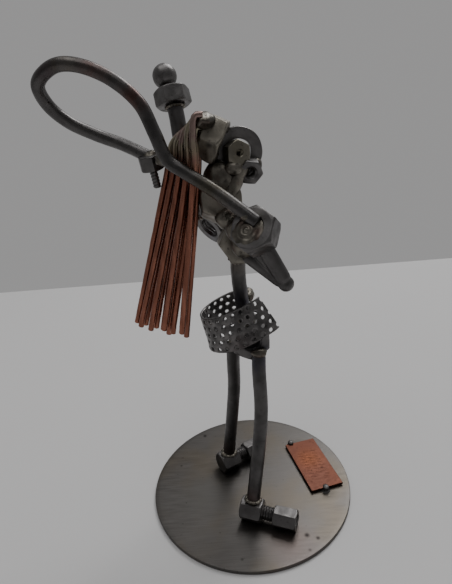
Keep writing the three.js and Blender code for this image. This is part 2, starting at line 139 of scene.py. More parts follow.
STUD_DIAMETER = 4.9
STUB_DIAMETER = 2.4
STUB_LENGTH = 8
PIN_DIAMETER = 2.5
PIN_SUNK = 0.3
PLATE_HEADING = -76.5
VISOR_OUTER, VISOR_INNER, VISOR_THICKNESS = 15.4, 8, 2
CROWN_HALF = (3.6, 5.6, 2.6)
NECK_WELD_HALF = (5.2, 3.8, 5.3)
SKIRT_WELD_HALF = (2.2, 4.3, 2.1)

# Finish of the shapes: rows and columns of the grids, in steps

NUT_COLUMNS = 96
NUT_SIDE_ROWS = 26
NUT_FACE_ROWS = 7
ROD_COLUMNS = 32
ROD_STEP = 0.6
THREAD_PITCH = 1.0
THREAD_DEPTH = 0.38
CHAMFER = math.radians(30)
SHARP_EDGE = math.radians(38)
BEAD_FLATNESS = 0.75


def length_setting(label, description, default, low, high):
    """Setting for a length in metres."""
    return FloatProperty(
        name=label, description=description, default=default, min=low, max=high, unit="LENGTH")


def colour_setting(label, description, default):
    """Setting for a colour."""
    return FloatVectorProperty(
        name=label, description=description, default=default, min=0, max=1, subtype="COLOR")


class FigurineSizes(bpy.types.PropertyGroup):
    """Sizes of the rods, the wire, the skirt and the base."""

    base_diameter: length_setting(
        "Base diameter", "Width of the round base sheet", node_size("base_disc", 0), 0.05, 0.12)
    base_thickness: length_setting(
        "Base thickness", "Thickness of the base sheet", node_size("base_disc", 2), 0.0005, 0.004)
    plate_length: length_setting(
        "Plate length", "Length of the copper plate", 0.028, 0.01, 0.04)
    plate_width: length_setting(
        "Plate width", "Width of the copper plate", 0.0137, 0.005, 0.02)
    plate_thickness: length_setting(
        "Plate thickness", "Thickness of the copper plate", 0.001, 0.0004, 0.002)
    limb_diameter: length_setting(
        "Limb rod", "Diameter of the legs, arms, waist and neck", 0.005, 0.003, 0.007)
    racket_diameter: length_setting(
        "Racket rod", "Diameter of the racket's rod", 0.004, 0.002, 0.006)
    hair_diameter: length_setting(
        "Hair wire", "Diameter of one copper wire of the hair", 0.002, 0.001, 0.0024)
    ball_diameter: length_setting(
        "Ball diameter", "Diameter of the ball on the raised hand", 0.0075, 0.004, 0.01)
    hole_diameter: length_setting(
        "Skirt hole", "Diameter of the holes in the skirt", 0.0015, 0.0008, 0.0024)
    hole_pitch: length_setting(
        "Skirt hole pitch", "Distance between neighbouring holes", 0.0031, 0.0025, 0.005)
    sheet_thickness: length_setting(
        "Skirt sheet", "Thickness of the perforated sheet", 0.0008, 0.0003, 0.0015)
    weld_height: length_setting(
        "Weld height", "Thickness of a bead of weld round a rod", 0.0009, 0.0003, 0.0016)
    stroke_rows: IntProperty(
        name="Stroke rows", description="Rows of shallow strokes pressed into the plate",
        default=3, min=0, max=5)


class FigurineColours(bpy.types.PropertyGroup):
    """Colours of the steel, the copper and the studio."""

    rod_steel: colour_setting(
        "Rod steel", "Colour of the bent rods", (0.092, 0.088, 0.087))
    nut_steel: colour_setting(
        "Nut steel", "Colour of the clean nuts", (0.14, 0.134, 0.132))
    weld_steel: colour_setting(
        "Weld steel", "Colour of the weld metal and of nuts dulled by heat", (0.24, 0.222, 0.19))
    base_steel: colour_setting(
        "Base steel", "Colour of the brushed base", (0.105, 0.099, 0.094))
    copper_wire: colour_setting(
        "Copper wire", "Colour of the clean part of the hair", (0.29, 0.12, 0.082))
    copper_plate: colour_setting(
        "Copper plate", "Colour of the plate on the base", (0.125, 0.05, 0.034))
    floor: colour_setting(
        "Floor", "Colour of the studio floor", (0.62, 0.615, 0.615))
    wall: colour_setting(
        "Wall", "Colour of the studio behind the figure", (0.315, 0.312, 0.312))


# Geometry helpers


def unit(vector):
    """Vector divided by its length."""
    vector = np.asarray(vector, float)
    return vector / np.linalg.norm(vector)


def turned_axes(axis, spin_deg=0.0):
    """Three columns: a side axis, an up axis and the given axis, spun about the given axis."""
    z = unit(axis)
    side = np.array([1.0, 0, 0]) if abs(z[2]) > 0.9 else np.array([0, 0, 1.0])
    x = unit(np.cross(side, z))
    y = np.cross(z, x)
    spin = math.radians(spin_deg)
    turned_x = math.cos(spin) * x + math.sin(spin) * y
    turned_y = -math.sin(spin) * x + math.cos(spin) * y
    return np.stack([turned_x, turned_y, z], 1)


def place(points, centre, axes):
    """Points in a piece's own axes, turned onto the given axes and moved to the centre."""
    return points @ axes.T + np.asarray(centre, float)


def lumps(points, size, seed):
    """Smooth bumps of about -1 to 1: the mean of sine waves in random directions, about a size long."""
    rng = np.random.default_rng(seed)
    ways = rng.normal(size=(9, 3))
    ways /= np.linalg.norm(ways, axis=1, keepdims=True)
    lengths = size * rng.uniform(0.7, 1.7, 9)
    phases = rng.uniform(0, 2 * math.pi, 9)
    return 1.7 * np.sin(2 * math.pi * points @ (ways / lengths[:, None]).T + phases).mean(-1)


def worn(points, amount, size, seed):
    """Each point moved by an amount times smooth bumps, a separate field for each axis."""
    moves = np.stack([lumps(points, size, seed + axis) for axis in range(3)], -1)
    return points + amount * moves


def soft_smaller(a, b, power=60):
    """The smaller of two lengths with a soft passage: the minus-power norm of the pair."""
    return (a ** -power + b ** -power) ** (-1 / power)


def grid_faces(rows, columns, wrap_rows=False):
    """Quads of a grid of points, closed round its columns and, where wanted, its rows."""
    row = np.arange(rows if wrap_rows else rows - 1)[:, None]
    column = np.arange(columns)[None, :]
    next_row = (row + 1) % rows
    next_column = (column + 1) % columns
    corners = [row * columns + column, row * columns + next_column,
               next_row * columns + next_column, next_row * columns + column]
    return np.stack([np.broadcast_to(c, corners[2].shape) for c in corners], -1).reshape(-1, 4)


def rings(radius, height, angle, wrap_rows=False):
    """Surface about Z whose point at a row and an angle is (r cos a, r sin a, z)."""
    radius, height = np.broadcast_arrays(radius, height)
    radius = np.broadcast_to(radius, (radius.shape[0], len(angle)))
    height = np.broadcast_to(height, radius.shape)
    points = np.stack([radius * np.cos(angle), radius * np.sin(angle), height], -1)
    return points.reshape(-1, 3), grid_faces(*radius.shape, wrap_rows=wrap_rows)


def even_angles(count):
    """Angles round a full turn."""
    return 2 * math.pi * np.arange(count) / count


def smooth_path(points, samples=24):
    """Centripetal Catmull-Rom curve: in each stretch a cubic whose end slopes come from its neighbours."""
    p = np.array(points, float)
    p = np.vstack([2 * p[0] - p[1], p, 2 * p[-1] - p[-2]])
    a, b, c, d = p[:-3], p[1:-2], p[2:-1], p[3:]
    ab, bc, cd = (np.sqrt(np.linalg.norm(end - start, axis=1))[:, None]
                  for start, end in ((a, b), (b, c), (c, d)))
    slope_b = bc * ((b - a) / ab - (c - a) / (ab + bc) + (c - b) / bc)
    slope_c = bc * ((c - b) / bc - (d - b) / (bc + cd) + (d - c) / cd)
    u = np.linspace(0, 1, samples, endpoint=False)[:, None, None]
    curve = ((2 * u ** 3 - 3 * u ** 2 + 1) * b + (u ** 3 - 2 * u ** 2 + u) * slope_b
             + (3 * u ** 2 - 2 * u ** 3) * c + (u ** 3 - u ** 2) * slope_c)
    return np.vstack([curve.transpose(1, 0, 2).reshape(-1, 3), p[-2]])


def along(path, stations):
    """Points of a path at given lengths from its start."""
    steps = np.linalg.norm(np.diff(path, axis=0), axis=1)
    lengths = np.concatenate([[0], np.cumsum(steps)])
    return np.stack([np.interp(stations, lengths, path[:, axis]) for axis in range(3)], -1)


def path_length(path):
    """Length of a path of close points."""
    return np.linalg.norm(np.diff(path, axis=0), axis=1).sum()


def carried_axes(centres):
    """Two side directions at each point of a path, carried along it without twisting."""
    ways = np.gradient(centres, axis=0)
    ways /= np.maximum(np.linalg.norm(ways, axis=1, keepdims=True), 1e-9)
    side = np.cross(ways[0], (0.3, 0.5, 0.81))
    sides = []
    for way in ways:
        side = unit(side - way * (side @ way))
        sides.append(side)
    sides = np.array(sides)
    return sides, np.cross(ways, sides)


def rod(points, diameter, end_round=0.5, thread=0.0, step=ROD_STEP, sides=ROD_COLUMNS, seed=0, wear=0.03):
    """Round rod on a smooth path: at length s and angle a, path(s) + r(s)(cos a side + sin a up).

    r(s) falls in a quarter circle at both ends, and rises and falls along a helix where it is threaded.
    """
    path = smooth_path(points)
    length = path_length(path)
    radius = diameter / 2
    turn = np.linspace(0, math.pi / 2, 5)
    end_s = end_round * (1 - np.cos(turn))
    end_r = radius - end_round * (1 - np.sin(turn))
    middle = np.linspace(end_round, length - end_round, max(3, int(length / step)))[1:-1]
    s = np.concatenate([[0], end_s, middle, length - end_s[::-1], [length]])
    r = np.concatenate([[0], end_r, np.full(len(middle), radius), end_r[::-1], [0]])
    inside = np.clip(s, 0.02, length - 0.02)
    centres = along(path, s)
    side, up = carried_axes(along(path, np.linspace(0, length, 200)))
    share = inside / length * 199
    side = np.stack([np.interp(share, np.arange(200), side[:, k]) for k in range(3)], -1)
    up = np.stack([np.interp(share, np.arange(200), up[:, k]) for k in range(3)], -1)
    angle = even_angles(sides)
    ring_radius = np.broadcast_to(r[:, None], (len(s), sides)).copy()
    if thread:
        helix = np.abs(((s[:, None] / THREAD_PITCH - angle / (2 * math.pi)) % 1) * 2 - 1) - 0.5
        ring_radius[2:-2] += thread * helix[2:-2]
    offset = (np.cos(angle)[None, :, None] * side[:, None, :]
              + np.sin(angle)[None, :, None] * up[:, None, :])
    surface = centres[:, None, :] + ring_radius[:, :, None] * offset
    return worn(surface.reshape(-1, 3), wear, 6.0, seed), grid_faces(len(s), sides)


def hexagon_radius(angle, flats):
    """Radius of a hexagon with soft corners: half the flats over the 70-norm of the cosines to its faces."""
    faces = np.radians(60 * np.arange(6))
    toward = np.clip(np.cos(angle[:, None] - faces), 0, None)
    return flats / 2 * (toward ** 70).sum(1) ** (-1 / 70)


def thread_radius(bore, height, angle, half):
    """Radius of a threaded bore: a helix of grooves, flared where the bore meets a face."""
    turn = height[:, None] / THREAD_PITCH - angle / (2 * math.pi)
    groove = THREAD_DEPTH * (np.abs((turn % 1) * 2 - 1) - 0.5)
    flare = np.clip(0.5 - (half - np.abs(height)), 0, None)[:, None]
    return bore / 2 + groove * (1 - np.clip(flare * 2, 0, 1)) + flare


def nut(kind, centre, axis, spin_deg=0.0, seed=0, wear=0.05, ripples=0.0):
    """Hexagon nut about an axis.

    Outside, at angle a and height z, the radius is the softly smaller of the hexagon's at a and the
    chamfer cone's at z. Each face runs in flat, or in rings of ripples, to a threaded bore or to the axis.
    """
    flats, thick, bore, recess = kind
    half = thick / 2
    angle = even_angles(NUT_COLUMNS)
    face_radius = 0.975 * flats / 2
    lip = bore / 2 + 0.5 if bore else 0.0
    side_z = -half * np.cos(np.linspace(0, math.pi, NUT_SIDE_ROWS))
    cone = face_radius + (half - np.abs(side_z)) / math.tan(CHAMFER)
    side_r = soft_smaller(hexagon_radius(angle, flats)[None, :], cone[:, None])
    face = np.linspace(lip, face_radius, NUT_FACE_ROWS, endpoint=False)[:, None] * np.ones(NUT_COLUMNS)
    relief = ripples * np.sin(2 * math.pi * face / 1.5) * (face < 0.8 * face_radius)
    radii = [face, side_r, face[::-1]]
    heights = [-half - relief, side_z[:, None] * np.ones(NUT_COLUMNS), (half + relief)[::-1]]
    through = bore > 0 and recess is None
    if through:
        wall = np.linspace(half, -half, max(12, int(thick * 8)))
        radii.append(thread_radius(bore, wall, angle, half)[1:-1])
        heights.append((wall[:, None] * np.ones(NUT_COLUMNS))[1:-1])
    else:
        if bore:
            wall = np.linspace(half, half - recess, int(recess * 10))
            wall_r = thread_radius(bore, wall, angle, half)[1:]
            wall_z = (wall[:, None] * np.ones(NUT_COLUMNS))[1:]
            radii = [wall_r[::-1], *radii, wall_r]
            heights = [-wall_z[::-1], *heights, wall_z]
        floor_z = half - recess if bore else half
        pole = np.zeros((1, NUT_COLUMNS))
        radii = [pole, *radii, pole]
        heights = [pole - floor_z, *heights, pole + floor_z]
    points, faces = rings(np.vstack(radii), np.vstack(heights), angle, wrap_rows=through)
    return place(worn(points, wear, 4.0, seed), centre, turned_axes(axis, spin_deg)), faces


def bead(centre, axis, ring_radius, thickness, seed=0):
    """Ring of weld: a torus whose thickness swells with the ripples of its passes and with smooth bumps."""
    around = even_angles(80)
    across = even_angles(18)
    own = np.stack([np.cos(around), np.sin(around), np.zeros(80)], -1)
    swell = 1 + 0.16 * np.sin(11 * around + seed) + 0.3 * lumps(own, 0.9, seed)
    radius = thickness * swell[:, None]
    out = ring_radius + radius * np.cos(across)
    height = BEAD_FLATNESS * radius * np.sin(across)
    points = np.stack([out * np.cos(around)[:, None], out * np.sin(around)[:, None], height], -1)
    return place(points.reshape(-1, 3), centre, turned_axes(axis)), grid_faces(80, 18, wrap_rows=True)


def lump(centre, half_sizes, seed=0, bumps=0.12, size=2.5):
    """Lump of weld: an ellipsoid whose radius carries smooth bumps."""
    down = np.linspace(0, math.pi, 33)
    angle = even_angles(56)
    points, faces = rings(np.sin(down)[:, None], np.cos(down)[:, None], angle)
    points = points * np.asarray(half_sizes, float)
    points *= (1 + bumps * lumps(points, size, seed))[:, None]
    return points + np.asarray(centre, float), faces


def button(centre, axis, radius, height, seed=0):
    """Button of weld on a face: height falls as the square of the radius and carries rings of ripples."""
    angle = even_angles(72)
    share = np.linspace(0, 1, 40)
    ripple = 0.16 * np.sin(2 * math.pi * share * radius / 1.45) * (1 - share)
    top = height * (1 - share ** 2) + ripple
    radii = np.concatenate([share, share[::-1]]) * radius
    heights = np.concatenate([top, -0.4 * np.ones(40)])
    points, faces = rings(radii[:, None], heights[:, None], angle)
    return place(worn(points, 0.16, 2.6, seed), centre, turned_axes(axis)), faces


# Putting pieces into the scene


def put_piece(name, surfaces, finish, nodes=(), closed=True):
    """Joins surfaces, given in millimetres, into one mesh that rides on the figure and stands for nodes.

    The finish is named: it is one that the first operator made.
    """
    starts = np.cumsum([0] + [len(points) for points, _ in surfaces[:-1]])
    points = np.concatenate([points for points, _ in surfaces]) * MM
    faces = np.concatenate([quads + start for (_, quads), start in zip(surfaces, starts)])
    mesh = bpy.data.meshes.new(name)
    mesh.vertices.add(len(points))
    mesh.vertices.foreach_set("co", points.astype(np.float32).ravel())
    mesh.loops.add(faces.size)
    mesh.loops.foreach_set("vertex_index", faces.astype(np.int32).ravel())
    mesh.polygons.add(len(faces))
    mesh.polygons.foreach_set("loop_start", np.arange(0, faces.size, 4, dtype=np.int32))
    mesh.update(calc_edges=True)
    work = bmesh.new()
    work.from_mesh(mesh)
    bmesh.ops.remove_doubles(work, verts=work.verts, dist=0.004 * MM)
    bmesh.ops.dissolve_degenerate(work, edges=work.edges, dist=0.0005 * MM)
    if closed:
        bmesh.ops.recalc_face_normals(work, faces=work.faces)
    work.to_mesh(mesh)
    work.free()
    mesh.shade_smooth()
    mesh.set_sharp_from_angle(angle=SHARP_EDGE)
    mesh.materials.append(bpy.data.materials[finish])
    piece = bpy.data.objects.new(name, mesh)
    bpy.context.scene.collection.objects.link(piece)
    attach(piece, "root")
    if nodes:
        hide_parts(*nodes)
    return piece


# Finishes


class Finish:
    """A metal finish built from nodes that read Object coordinates."""

    def __init__(self, name, metallic=1.0):
        self.material = bpy.data.materials.new(name)
        self.material.use_nodes = True
        self.tree = self.material.node_tree
        self.shader = self.tree.nodes["Principled BSDF"]
        self.shader.inputs["Metallic"].default_value = metallic
        self.object = self.add("ShaderNodeTexCoord").outputs["Object"]

    def add(self, kind, **settings):
        """New node with its settings."""
        node = self.tree.nodes.new(kind)
        for key, value in settings.items():
            setattr(node, key, value)
        return node

    def link(self, source, target):
        """Joins two sockets."""
        self.tree.links.new(source, target)

    def noise(self, size_mm, detail=3.0, stretch=(1, 1, 1), turn_z=0.0):
        """Noise whose spots are about a size wide, stretched along the piece's axes."""
        mapping = self.add("ShaderNodeMapping")
        mapping.inputs["Scale"].default_value = stretch
        mapping.inputs["Rotation"].default_value = (0, 0, turn_z)
        self.link(self.object, mapping.inputs["Vector"])
        texture = self.add("ShaderNodeTexNoise")
        texture.inputs["Scale"].default_value = 1 / (size_mm * MM)
        texture.inputs["Detail"].default_value = detail
        self.link(mapping.outputs["Vector"], texture.inputs["Vector"])
        return texture.outputs["Fac"]

    def spread(self, value, low, high, to_low=0.0, to_high=1.0):
        """Value from a low to a high limit, carried to a new range and clamped."""
        node = self.add("ShaderNodeMapRange", clamp=True, interpolation_type="SMOOTHSTEP")
        for key, number in (("From Min", low), ("From Max", high), ("To Min", to_low), ("To Max", to_high)):
            node.inputs[key].default_value = number
        self.link(value, node.inputs["Value"])
        return node.outputs["Result"]

    def near(self, point_mm, radius_mm, strength):
        """Strength at a point of the piece, falling to nothing at a radius."""
        distance = self.add("ShaderNodeVectorMath", operation="DISTANCE")
        distance.inputs[1].default_value = [c * MM for c in point_mm]
        self.link(self.object, distance.inputs[0])
        return self.spread(distance.outputs["Value"], 0.0, radius_mm * MM, strength, 0.0)

    def coordinate(self, axis):
        """One coordinate of the piece."""
        node = self.add("ShaderNodeSeparateXYZ")
        self.link(self.object, node.inputs["Vector"])
        return node.outputs[axis]

    def multiply(self, a, b):
        """Product of two values."""
        node = self.add("ShaderNodeMath", operation="MULTIPLY")
        self.link(a, node.inputs[0])
        self.link(b, node.inputs[1])
        return node.outputs["Value"]

    def mix(self, factor, under, over):
        """Colour mixed from two, each a socket or a colour."""
        node = self.add("ShaderNodeMix", data_type="RGBA")
        self.link(factor, node.inputs["Factor"])
        for colour, key in ((under, "A"), (over, "B")):
            socket = [s for s in node.inputs if s.name == key and s.type == "RGBA"][0]
            if isinstance(colour, bpy.types.NodeSocket):
                self.link(colour, socket)
            else:
                socket.default_value = (*colour, 1.0)
        return [s for s in node.outputs if s.type == "RGBA"][0]

    def colour(self, socket):
        """Base colour from a socket."""
        self.link(socket, self.shader.inputs["Base Color"])

    def roughness(self, value, low, high):
        """Roughness between two limits by a value."""
        self.link(self.spread(value, 0.3, 0.7, low, high), self.shader.inputs["Roughness"])

    def bump(self, value, height_mm):
        """Bump from a value, with its height in millimetres."""
        node = self.add("ShaderNodeBump")
        node.inputs["Strength"].default_value = 1.0
        node.inputs["Distance"].default_value = height_mm * MM
        self.link(value, node.inputs["Height"])
        self.link(node.outputs["Normal"], self.shader.inputs["Normal"])


def shade(colour, factor):
    """A colour made lighter or darker."""
    return tuple(min(1.0, c * factor) for c in colour)


RED_BROWN = (0.09, 0.045, 0.038)
STRAW = (0.13, 0.1, 0.06)
HEAT_BLUE = (0.045, 0.045, 0.07)
KHAKI = (0.15, 0.138, 0.1)
SOOT_AND_SHADE = (0.012, 0.01, 0.01)
PLUM = (0.08, 0.055, 0.06)
OLIVE = (0.07, 0.062, 0.045)
PINK_STEEL = (0.12, 0.094, 0.088)
GREEN_STEEL = (0.105, 0.102, 0.094)
SHEET_PINK = (0.1, 0.075, 0.075)
WIRE_KHAKI = (0.3, 0.27, 0.2)
WIRE_MAUVE = (0.28, 0.2, 0.18)
COPPER_PINK = (0.1, 0.044, 0.032)
COPPER_ORANGE = (0.18, 0.06, 0.024)
COPPER_BROWN = (0.05, 0.021, 0.014)


def heated_steel(name, colour, tints_and_shade=(), rough=(0.3, 0.5), soot=0.35, grain=0.02):
    """Steel with cloudy tone, heat-tinted patches and patches of painted shade at named places, sooty specks
    and a fine grain.
    """
    finish = Finish(name)
    cloud = finish.spread(finish.noise(7.0, 4.0), 0.35, 0.65)
    tone = finish.mix(cloud, shade(colour, 0.78), shade(colour, 1.16))
    patch = finish.noise(3.0, 3.0)
    for point, radius, tint_and_shade, strength in tints_and_shade:
        edge = finish.spread(patch, 0.3, 0.62, 0.35, 1.0)
        tone = finish.mix(finish.multiply(finish.near(point, radius, strength), edge), tone, tint_and_shade)
    specks = finish.spread(finish.noise(1.1, 5.0), 0.6, 0.74, 0.0, soot)
    finish.colour(finish.mix(specks, tone, SOOT_AND_SHADE))
    finish.roughness(finish.noise(1.6, 4.0), *rough)
    finish.bump(finish.noise(0.45, 3.0), grain)
    return finish.material


def weld_steel(name, colour):
    """Weld metal: dull, mottled between khaki, brown and grey, with pits."""
    finish = Finish(name)
    cloud = finish.spread(finish.noise(3.5, 5.0), 0.35, 0.65)
    tone = finish.mix(cloud, shade(colour, 0.42), shade(colour, 0.86))
    brown = finish.spread(finish.noise(5.5, 3.0), 0.5, 0.7, 0.0, 0.45)
    tone = finish.mix(brown, tone, RED_BROWN)
    pits = finish.spread(finish.noise(0.9, 4.0), 0.6, 0.7, 0.0, 0.6)
    finish.colour(finish.mix(pits, tone, SOOT_AND_SHADE))
    finish.roughness(finish.noise(1.2, 4.0), 0.28, 0.5)
    finish.bump(finish.noise(0.7, 4.0), 0.04)
    return finish.material


def brushed_base(name, colour):
    """Base sheet: fine straight brushing, faint straw, pink and green tinting, painted shadow round the
    feet, darker spots near the plate's ends and a few pits.
    """
    finish = Finish(name)
    brushing = finish.noise(0.5, 6.0, stretch=(0.05, 1.4, 1), turn_z=math.radians(12))
    tone = finish.mix(finish.spread(brushing, 0.3, 0.7), shade(colour, 0.88), shade(colour, 1.1))
    cloud = finish.spread(finish.noise(22.0, 3.0), 0.4, 0.7, 0.0, 0.35)
    tone = finish.mix(cloud, tone, shade(STRAW, 0.95))
    for point, radius, tint_and_shade, strength in (
        ((12, -31, 1.5), 15, PINK_STEEL, 0.6),
        ((-24, -6, 1.5), 18, GREEN_STEEL, 0.5),
        # Painted shadow: the next two spots darken the base round the feet, where their shadows fall; the
        # two after them darken it near the plate's ends.
        ((2, -19, 1.5), 11, shade(colour, 0.42), 0.7),
        ((-8, 8, 1.5), 12, shade(colour, 0.42), 0.7),
        ((23, 19, 1.5), 6, shade(colour, 0.4), 0.6),
        ((30, -9, 1.5), 5, shade(colour, 0.4), 0.5),
        ((-19.8, 30.4, 1.5), 1.3, SOOT_AND_SHADE, 0.9),
        ((18.1, -27.4, 1.5), 1.5, SOOT_AND_SHADE, 0.95),
        ((21.8, -28.9, 1.5), 1.2, SOOT_AND_SHADE, 0.9),
        ((18, -33.4, 1.5), 1.0, SOOT_AND_SHADE, 0.6),
        ((-6, -35, 1.5), 0.9, SOOT_AND_SHADE, 0.5),
        ((-30, 12, 1.5), 0.9, SOOT_AND_SHADE, 0.5),
    ):
        tone = finish.mix(finish.near(point, radius, strength), tone, tint_and_shade)
    specks = finish.spread(finish.noise(1.6, 5.0), 0.66, 0.76, 0.0, 0.5)
    finish.colour(finish.mix(specks, tone, SOOT_AND_SHADE))
    finish.roughness(brushing, 0.34, 0.46)
    finish.bump(brushing, 0.012)
    return finish.material


def dulled_copper_wire(name, colour):
    """Copper wire: heat-dulled khaki and mauve at the top, red brown below, darker in long streaks."""
    finish = Finish(name)
    streak = finish.noise(1.6, 3.0, stretch=(1, 1, 0.06))
    tone = finish.mix(finish.spread(streak, 0.35, 0.65), shade(colour, 0.78), shade(colour, 1.15))
    mauve = finish.spread(finish.noise(5.0, 2.0), 0.4, 0.6)
    dull = finish.mix(mauve, WIRE_KHAKI, WIRE_MAUVE)
    height = finish.coordinate("Z")
    heated = finish.spread(height, 0.128, 0.139)
    finish.colour(finish.mix(heated, tone, dull))
    finish.roughness(finish.noise(2.0, 3.0), 0.24, 0.4)
    finish.bump(finish.noise(0.8, 3.0), 0.015)
    return finish.material


def worn_copper_plate(name, colour):
    """Copper plate: orange in the middle, pinkish towards its edges, with brown cloudy spots."""
    finish = Finish(name)
    brushing = finish.noise(0.7, 5.0, stretch=(0.25, 1, 1), turn_z=math.radians(-76))
    tone = finish.mix(finish.spread(brushing, 0.3, 0.7), shade(colour, 0.85), shade(colour, 1.12))
    pink = finish.spread(finish.noise(9.0, 3.0), 0.4, 0.65, 0.0, 0.6)
    tone = finish.mix(pink, tone, COPPER_PINK)
    tone = finish.mix(finish.near((26, 9, 2.5), 9, 0.5), tone, COPPER_ORANGE)
    brown = finish.spread(finish.noise(2.6, 4.0), 0.58, 0.72, 0.0, 0.6)
    finish.colour(finish.mix(brown, tone, COPPER_BROWN))
    finish.roughness(brushing, 0.36, 0.52)
    finish.bump(brushing, 0.02)
    return finish.material


def perforated_steel(name, colour):
    """Skirt sheet: satin steel with pinkish and dark patches."""
    finish = Finish(name)
    cloud = finish.spread(finish.noise(4.0, 4.0), 0.38, 0.64)
    tone = finish.mix(cloud, shade(colour, 0.7), shade(colour, 1.35))
    tone = finish.mix(finish.near((0, -9, 70), 8, 0.5), tone, SHEET_PINK)
    tone = finish.mix(finish.spread(finish.noise(1.4, 4.0), 0.58, 0.74, 0.0, 0.5), tone, SOOT_AND_SHADE)
    finish.colour(tone)
    finish.roughness(finish.noise(1.5, 4.0), 0.26, 0.46)
    finish.bump(finish.noise(0.6, 3.0), 0.02)
    return finish.material


def matt_floor(name, colour):
    """Studio floor: a plain pale tone, very faintly cloudy."""
    finish = Finish(name, metallic=0.0)
    finish.colour(finish.mix(finish.noise(90.0, 2.0), shade(colour, 0.97), colour))
    finish.shader.inputs["Roughness"].default_value = 0.9
    finish.shader.inputs["Specular IOR Level"].default_value = 0.2
    return finish.material


# Shapes that only one piece has


def base_sheet(diameter, thickness):
    """Round sheet: a profile with small rounded edges, turned about Z."""
    edge = 0.28
    turn = np.linspace(0, math.pi / 2, 6)
    radius = diameter / 2
    lower_r = radius - edge + edge * np.sin(turn)
    lower_z = edge - edge * np.cos(turn)
    flat = np.linspace(0, radius - edge, 24, endpoint=False)
    radii = np.concatenate([flat, lower_r, lower_r[::-1], flat[::-1]])
    heights = np.concatenate([np.zeros(24), lower_z, thickness - lower_z[::-1], np.full(24, thickness)])
    return rings(radii[:, None], heights[:, None], even_angles(240))


STROKE_ROW_PITCH = 3.1
STROKES_IN_ROW = 9
STROKE_PITCH = 1.75
STROKE_SLANT = 0.35
STROKE_HALF_LENGTH = 0.8
STROKE_SPREAD = 0.045
STROKE_DEPTH = 0.06


def stroke_depth(along_plate, across_plate, rows):
    """Depth of the pressed strokes: for each short slanted stroke, a bell curve of the distance to it."""
    depth = np.zeros_like(along_plate)
    for row in range(rows):
        line = (row - (rows - 1) / 2) * STROKE_ROW_PITCH
        count = STROKES_IN_ROW - 2 * (row % 2)
        for stroke in range(count):
            centre = (stroke - (count - 1) / 2) * STROKE_PITCH
            u = (along_plate - centre) - STROKE_SLANT * (across_plate - line)
            v = np.clip(np.abs(across_plate - line) - STROKE_HALF_LENGTH, 0, None)
            depth = np.maximum(depth, np.exp(-(u ** 2 + v ** 2) / STROKE_SPREAD))
    return depth


def copper_sheet(length, width, thickness, rows, centre, heading):
    """Plate: a rounded rectangle carried along its length, its top pressed by strokes and slightly bent."""
    turn = np.linspace(0, math.pi / 2, 5)
    edge = 0.18
    half_w, half_t = width / 2, thickness / 2
    top_y = np.linspace(-half_w + edge, half_w - edge, 96)
    corner_y, corner_z = half_w - edge + edge * np.sin(turn), half_t - edge + edge * np.cos(turn)
    under_y = top_y[::-6][1:-1]
    loop_y = np.concatenate([top_y, corner_y[1:], corner_y[::-1], under_y, -corner_y,
                             -corner_y[::-1][:-1]])
    loop_z = np.concatenate([np.full(96, half_t), corner_z[1:], -corner_z[::-1],
                             np.full(len(under_y), -half_t), -corner_z, corner_z[::-1][:-1]])
    x = np.concatenate([[-length / 2], np.linspace(-length / 2, length / 2, 190), [length / 2]])
    x[1], x[-2] = -length / 2 + 0.05, length / 2 - 0.05
    shrink = np.ones(len(x))
    shrink[[0, -1]] = 0.0
    y = loop_y[None, :] * shrink[:, None]
    z = loop_z[None, :] * shrink[:, None]
    x = np.broadcast_to(x[:, None], y.shape)
    on_top = (loop_z > half_t - 0.01)[None, :] & (shrink[:, None] > 0)
    z = z - STROKE_DEPTH * stroke_depth(x, y, rows) * on_top
    z = z + 0.08 * lumps(np.stack([x, y, 0 * y], -1), 14.0, 5)
    points = np.stack([x, y, z], -1).reshape(-1, 3)
    ahead = heading_way(heading)
    axes = np.stack([ahead, (-ahead[1], ahead[0], 0), (0, 0, 1)], 1)
    return place(points, centre, axes), grid_faces(*y.shape)


def pin(foot, diameter, height, seed):
    """Pin: a stub with a domed top, and a low skirt of weld at its foot."""
    down = np.linspace(0, math.pi / 2, 9)
    radius = diameter / 2
    dome_r, dome_z = radius * np.sin(down), height - 0.7 + 0.7 * np.cos(down)
    radii = np.concatenate([dome_r, [radius, radius + 0.35, radius + 0.6, 0]])
    heights = np.concatenate([dome_z, [0.7, 0.3, 0.0, 0.0]])
    points, faces = rings(radii[:, None], heights[:, None], even_angles(48))
    return place(worn(points, 0.09, 1.8, seed), foot, np.eye(3)), faces


SKIRT_LENGTH = 21.6
SKIRT_WIDTH = 17
SKIRT_HEIGHT = 13
SKIRT_FLARE = 2.2
SKIRT_FROM = 55
SKIRT_SWEEP = 275
SKIRT_END = 40
SKIRT_STAND_OFF = 0.15
SKIRT_TILT = -20
CELL_SIDES = 24


def skirt_point(share, height):
    """Middle of the sheet at a share of its sweep: an oval that widens downwards and opens at its end."""
    angle = np.radians(SKIRT_FROM + SKIRT_SWEEP * share)
    down = 0.5 - height / SKIRT_HEIGHT
    free = np.clip((share - (1 - SKIRT_END / SKIRT_SWEEP)) * SKIRT_SWEEP / SKIRT_END, 0, 1)
    stand = 1 + SKIRT_STAND_OFF * free * free * (3 - 2 * free)
    x = (SKIRT_LENGTH / 2 + SKIRT_FLARE * down) * stand * np.cos(angle)
    y = (SKIRT_WIDTH / 2 + SKIRT_FLARE * down) * stand * np.sin(angle)
    return np.stack([x, y, height], -1)


